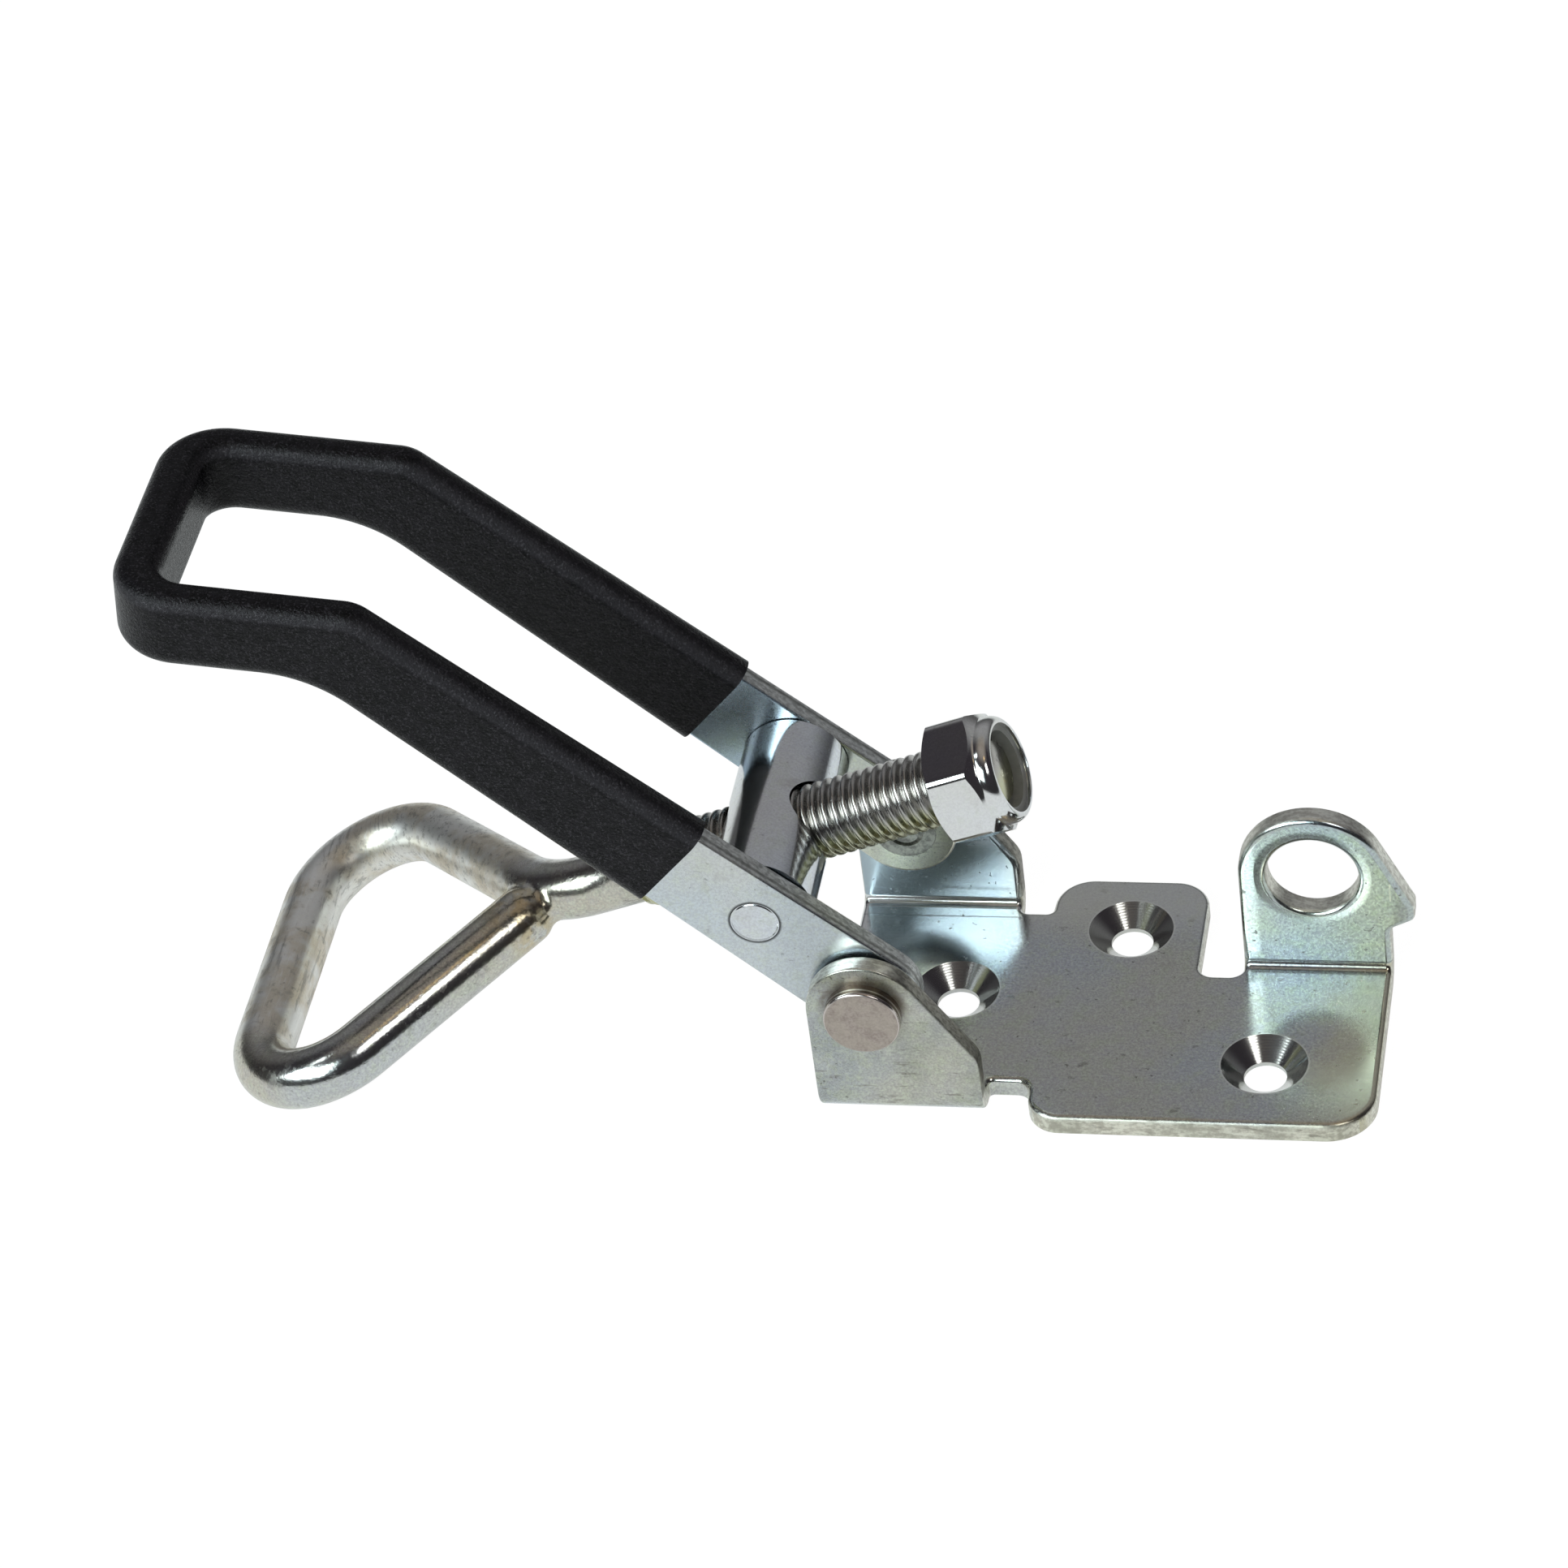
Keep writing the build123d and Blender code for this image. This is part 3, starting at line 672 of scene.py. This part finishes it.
def grip_finish(graph, place, normal):
    """Dipped black vinyl with a fine grain, painted glints on the grain and a painted sheen along the upper edges.
    """
    grain = graph.noise(place, 2100.0, 3.0, 0.62)
    coarse = graph.noise(place, 700.0, 2.0)
    glint = graph.step(graph.noise(place, 3000.0, 1.0), 0.56, 0.68)
    vinyl = graph.blend(graph.step(coarse, 0.3, 0.7), vinyl_black, vinyl_soft)
    coat = Coat(graph, vinyl, 0.29 - glint * 0.14, grain * 0.7 + coarse * 0.3)
    # painted glints on the grain, where the roughness is also lower
    coat.stain(glint * 0.7, vinyl_glint)
    # painted sheen along the upper edges, speckled by the painted glints
    _, _, nz = graph.split(normal)
    sheen_band = graph.step(nz, 0.05, 0.3) * graph.step(nz, 0.5, 0.85, 1.0, 0.0)
    coat.stain(sheen_band * (0.4 + glint * 0.6), vinyl_sheen)
    return {**coat.plastic(0.3 * MM), "Specular IOR Level": 0.18}


def nylon_finish(graph, place, normal):
    """Cloudy grey nylon."""
    cloud = graph.noise(place, 900.0, 2.0)
    coat = Coat(graph, graph.blend(cloud, nylon_dark, nylon_pale), 0.42, cloud)
    return coat.plastic(0.03 * MM, 0.4)


# ---- thread -------------------------------------------------------------
def thread_tree():
    """Geometry nodes that turn a grid into a threaded bar along Z, closed at both ends."""
    tree = bpy.data.node_groups.new("rolled thread", "GeometryNodeTree")
    sizes = {
        "Pitch": thread_pitch,
        "Major radius": thread_major_r,
        "Minor radius": thread_minor_r,
        "End radius": shank_r,
        "Start": thread_start,
        "End": thread_end,
        "Tip": thread_tip,
    }
    for name, value in sizes.items():
        socket = tree.interface.new_socket(
            name, in_out="INPUT", socket_type="NodeSocketFloat"
        )
        socket.default_value = value
    tree.interface.new_socket("Finish", in_out="INPUT", socket_type="NodeSocketMaterial")
    tree.interface.new_socket("Geometry", in_out="OUTPUT", socket_type="NodeSocketGeometry")
    graph = Graph(tree)
    inputs = tree.nodes.new("NodeGroupInput")
    size = {name: Wire(graph, inputs.outputs[name]) for name in sizes}

    # a grid of rows round the bar, with spare turns that close flat at each end
    rows_a_turn = 14
    sides = 72
    lead_turns = 2.0
    spare_turns = 3.0
    turns = (size["End"] - size["Start"]) / size["Pitch"] + spare_turns
    rows = (turns * rows_a_turn).math("FLOOR")
    grid = graph.add("GeometryNodeMeshGrid", None, {
        "Size X": 1.0,
        "Size Y": 1.0,
        "Vertices X": rows,
        "Vertices Y": sides + 1,
    })
    index = graph.add("GeometryNodeInputIndex")
    column = index.math("MODULO", sides + 1)
    row = ((index - column) / (sides + 1)).math("ROUND")
    angle = column * (2 * pi / sides)
    turn = row / rows_a_turn
    run = size["Start"] + (turn - lead_turns) * size["Pitch"]
    run = run + angle * size["Pitch"] / (2 * pi)
    along = run.math("MAXIMUM", size["Start"]).math("MINIMUM", size["End"])

    # profile: broad worn crest, nearly straight flanks, rounded root
    wave = turn.math("PINGPONG", 0.5) * 2.0
    rounded = graph.step(wave, 0.10, 0.74)
    straight = graph.add("ShaderNodeMapRange", None, {
        "Value": wave,
        "From Min": 0.12,
        "From Max": 0.76,
    })
    shape = rounded * 0.35 + straight * 0.65
    radius = size["Minor radius"] + (size["Major radius"] - size["Minor radius"]) * shape
    past_cone = (along - (size["End"] - size["Tip"])).math("MAXIMUM", 0.0)
    tip = size["Major radius"] - past_cone
    run_out = 1.2
    foot = size["End radius"] + (along - size["Start"]) * run_out
    radius = radius.math("MINIMUM", tip).math("MINIMUM", foot)
    # the first and the last row close on the axis
    radius = radius * ((row > 0.5) * (row < rows - 1.5))
    place = graph.join(angle.math("COSINE") * radius, angle.math("SINE") * radius, along)
    moved = graph.add("GeometryNodeSetPosition", None, {"Geometry": grid, "Position": place})
    merge = {"Geometry": moved, "Distance": merge_gap}
    closed = graph.add("GeometryNodeMergeByDistance", None, merge)
    smooth = graph.add("GeometryNodeSetShadeSmooth", None, {"Geometry": closed})
    real = graph.add("GeometryNodeRealizeInstances", None, {"Geometry": smooth})
    finish = Wire(graph, inputs.outputs["Finish"])
    done = graph.add("GeometryNodeSetMaterial", None, {"Geometry": real, "Material": finish})
    outputs = tree.nodes.new("NodeGroupOutput")
    tree.links.new(done.socket, outputs.inputs["Geometry"])
    return tree


def baked(tree, finish):
    """The mesh that a tree makes, with its modifier gone."""
    holder = bpy.data.objects.new("holder", bpy.data.meshes.new("holder"))
    bpy.context.scene.collection.objects.link(holder)
    modifier = holder.modifiers.new("shape", "NODES")
    modifier.node_group = tree
    for item in tree.interface.items_tree:
        if item.name == "Finish":
            modifier[item.identifier] = finish
    graph = bpy.context.evaluated_depsgraph_get()
    mesh = bpy.data.meshes.new_from_object(holder.evaluated_get(graph), depsgraph=graph)
    bpy.data.objects.remove(holder)
    return mesh


# ---- pieces -------------------------------------------------------------
def piece(name, mesh, body, finish):
    """A new piece of the latch, on the body that it moves with."""
    made = bpy.data.objects.new(name, mesh)
    bpy.context.scene.collection.objects.link(made)
    made.data.materials.clear()
    made.data.materials.append(finish)
    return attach(made, body)


def smooth_mesh(name, shape, crease):
    """The mesh of a bmesh, smooth apart from edges sharper than a crease."""
    bmesh.ops.recalc_face_normals(shape, faces=shape.faces)
    mesh = bpy.data.meshes.new(name)
    shape.to_mesh(mesh)
    shape.free()
    mesh.shade_smooth()
    mesh.set_sharp_from_angle(angle=crease)
    return mesh


def rod_frame():
    """Matrix that takes Z to the rod axis, from the trunnion."""
    side = Vector((0, 1, 0))
    up = rod_direction.cross(side)
    turn = Matrix((side, up, rod_direction)).transposed().to_4x4()
    return Matrix.Translation(trunnion) @ turn


def make_draw_rod(finish):
    """The bent and welded bar from its solid, with a real thread on its straight end."""
    bar = bmesh.new()
    bar.from_mesh(nodes["draw_rod"].data)
    bmesh.ops.remove_doubles(bar, verts=bar.verts, dist=merge_gap)
    cut = trunnion + rod_direction * (thread_start + thread_overlap)
    bmesh.ops.bisect_plane(
        bar,
        geom=bar.verts[:] + bar.edges[:] + bar.faces[:],
        plane_co=cut,
        plane_no=rod_direction,
        clear_outer=True,
    )
    bmesh.ops.holes_fill(bar, edges=[edge for edge in bar.edges if edge.is_boundary])
    thread = baked(thread_tree(), finish)
    thread.transform(rod_frame())
    bar.from_mesh(thread)
    mesh = smooth_mesh("draw_rod_threaded", bar, rod_crease)
    made = piece("draw_rod_threaded", mesh, "rod", finish)
    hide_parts("draw_rod")


def hexagon_r(angle):
    """Radius of the rounded hexagon, at an angle from one of its corners."""
    turn = abs((angle + pi / 6) % (pi / 3) - pi / 6)
    centre = (nut_flat - nut_corner_round) / cos(pi / 6)
    across = nut_corner_round * sin(pi / 6)
    tangent = atan2(across, centre + nut_corner_round * cos(pi / 6))
    if turn < tangent:
        return centre * cos(turn) + sqrt(nut_corner_round**2 - (centre * sin(turn)) ** 2)
    return nut_flat / cos(pi / 6 - turn)


def nut_section(outer, length):
    """Points (radius, place along the axis) of the nut's section where its hexagon has a radius."""
    corner_r = nut_flat / cos(pi / 6)
    slope = (nut_neck - nut_shoulder) / (corner_r - crown_r)
    # seat, flat and neck, with a small hollow where the crown rises
    points = [
        (nut_bore_r, 0.0),
        (nut_seat_r, 0.0),
        (outer, (outer - nut_seat_r) * tan(pi / 6)),
        (outer, nut_shoulder + (corner_r - outer) * slope),
        (crown_r + 0.12 * MM, nut_neck - 0.08 * MM),
        (crown_r, nut_neck + 0.15 * MM),
    ]
    # the rolled crown
    steps = 14
    rise = length - nut_neck - 0.3 * MM
    for step in range(steps + 1):
        turn = pi / 2 * step / steps
        radius = crown_lip_r + (crown_r - crown_lip_r) * cos(turn)
        points.append((radius, length - rise * (1 - sin(turn))))
    # its softened lip, and the pocket of the nylon ring
    points += [
        (crown_opening_r + 0.04 * MM, length - 0.04 * MM),
        (crown_opening_r, length - 0.15 * MM),
        (crown_opening_r, nylon_top),
        (nylon_r, nylon_top),
        (nylon_r, nylon_seat),
        (nut_bore_r, nylon_seat),
    ]
    return points


def make_lock_nut(finish):
    """The lock nut on its solid's place, with rounded corners and a rolled crown."""
    place = rod_frame()
    solid = [place.inverted() @ vertex.co for vertex in nodes["lock_nut"].data.vertices]
    corner = max(solid, key=lambda point: point.x**2 + point.y**2)
    first_turn = atan2(corner.y, corner.x)
    start = min(point.z for point in solid)
    length = max(point.z for point in solid) - start
    sides = 360
    nut = bmesh.new()
    rings = []
    for side in range(sides):
        angle = 2 * pi * side / sides
        turn = angle + first_turn
        rings.append([
            nut.verts.new(place @ Vector((radius * cos(turn), radius * sin(turn), start + rise)))
            for radius, rise in nut_section(hexagon_r(angle), length)
        ])
    for side, ring in enumerate(rings):
        following = rings[(side + 1) % sides]
        for step, point in enumerate(ring):
            after = (step + 1) % len(ring)
            nut.faces.new((point, following[step], following[after], ring[after]))
    mesh = smooth_mesh("lock_nut_rolled", nut, nut_crease)
    made = piece("lock_nut_rolled", mesh, "nut", finish)
    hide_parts("lock_nut")


# ---- dressing -----------------------------------------------------------
finishes = {
    "base_plate": material("satin zinc plate", plate_finish),
    "lever": material("satin zinc strip", lever_finish),
    "trunnion_bar": material("turned zinc bar", turned_finish),
    "lock_nut": material("bright zinc nut", nut_finish),
    "nylon_ring": material("grey nylon", nylon_finish),
    "grip_sleeve": material("dipped black vinyl", grip_finish),
    "draw_rod": material("bright zinc rod", rod_finish),
}
dull_rivet = material("dull rivet steel", rivet_finish)
finishes["pivot_rivet_front"] = dull_rivet
finishes["pivot_rivet_rear"] = dull_rivet
for name, finish in finishes.items():
    nodes[name].data.materials.clear()
    nodes[name].data.materials.append(finish)
make_draw_rod(finishes["draw_rod"])
make_lock_nut(finishes["lock_nut"])


# ---- stage --------------------------------------------------------------
def floor_finish():
    """White to the camera with a faint shadow; in reflections, paper that falls off to grey."""
    made = bpy.data.materials.new("white floor")
    made.use_nodes = True
    graph = Graph(made.node_tree)
    made.node_tree.nodes.remove(made.node_tree.nodes["Principled BSDF"])
    camera_ray = graph.add("ShaderNodeLightPath", out="Is Camera Ray")
    path = camera_ray.socket.node
    glossy_ray = Wire(graph, path.outputs["Is Glossy Ray"])
    clear_ray = Wire(graph, path.outputs["Is Transmission Ray"])
    seen = (camera_ray + clear_ray).math("MINIMUM", 1.0)
    x, y, _ = graph.split(graph.add("ShaderNodeTexCoord", out="Object"))
    reach = graph.reach(x * paper_stretch, y + paper_front)
    paper = graph.step(reach, *paper_fall, paper_near, paper_far)
    matt = graph.add("ShaderNodeBsdfDiffuse", None, {"Color": floor_matt})
    blank = graph.add("ShaderNodeEmission", None, {"Color": white, "Strength": floor_white})
    lit = graph.add("ShaderNodeEmission", None, {"Color": paper_tint, "Strength": paper})
    direct = graph.add("ShaderNodeMixShader", None, {0: seen * floor_cover, 1: matt, 2: blank})
    share = glossy_ray * paper_share
    both = graph.add("ShaderNodeMixShader", None, {0: share, 1: direct, 2: lit})
    surface = made.node_tree.nodes["Material Output"].inputs["Surface"]
    made.node_tree.links.new(both.socket, surface)
    return made


def make_floor():
    """A wide floor, just below the latch."""
    signs = ((-1, -1), (1, -1), (1, 1), (-1, 1))
    corners = [(x * floor_half, y * floor_half, 0) for x, y in signs]
    mesh = bpy.data.meshes.new("floor")
    mesh.from_pydata(corners, [], [(0, 1, 2, 3)])
    floor = bpy.data.objects.new("floor", mesh)
    floor.location.z = -floor_drop
    bpy.context.scene.collection.objects.link(floor)
    floor.data.materials.append(floor_finish())


def make_world():
    """White to the camera. In light and reflections, a dim room with soft boxes."""
    world = bpy.data.worlds.new("studio")
    world.use_nodes = True
    bpy.context.scene.world = world
    graph = Graph(world.node_tree)
    seen = graph.add("ShaderNodeLightPath", out="Is Camera Ray")
    x, y, z = graph.split(graph.add("ShaderNodeTexCoord", out="Generated"))
    # angles in degrees: round the object from its front, and up from the floor
    around = x.math("ARCTAN2", y * -1.0) * (180 / pi)
    above = z.math("ARCSINE") * (180 / pi)
    room = graph.blend(graph.step(abs(around), *rear_turn), room_front, room_rear)
    room = graph.blend(graph.step(above, *line_rise, line_share, 0.0), room, room_line)
    room = graph.blend(graph.step(above, *top_rise), room, room_top)
    for low, high, bottom, top, soft, shade in soft_boxes:
        sides = graph.step(around, low - soft, low + soft)
        sides = sides * graph.step(around, high - soft, high + soft, 1.0, 0.0)
        ends = graph.step(above, bottom - soft, bottom + soft)
        ends = ends * graph.step(above, top - soft, top + soft, 1.0, 0.0)
        room = graph.blend(sides * ends, room, shade)
    shown = graph.blend(seen, room, white)
    background = world.node_tree.nodes["Background"]
    world.node_tree.links.new(shown.socket, background.inputs["Color"])


def make_camera():
    """The camera, turned by its azimuth, elevation and roll."""
    level_reach = cos(camera_elevation)
    forward = Vector((
        -sin(camera_azimuth) * level_reach,
        cos(camera_azimuth) * level_reach,
        -sin(camera_elevation),
    ))
    level = forward.cross(Vector((0, 0, 1))).normalized()
    right = level * cos(camera_roll) + level.cross(forward) * sin(camera_roll)
    up = right.cross(forward)
    turn = Matrix((right, up, -forward)).transposed().to_4x4()
    data = bpy.data.cameras.new("camera")
    data.lens = camera_lens
    data.clip_start = 0.05
    camera = bpy.data.objects.new("camera", data)
    camera.matrix_world = Matrix.Translation(camera_place) @ turn
    bpy.context.scene.collection.objects.link(camera)
    bpy.context.scene.camera = camera


make_floor()
make_world()
make_camera()
bpy.context.scene.view_settings.view_transform = "Standard"
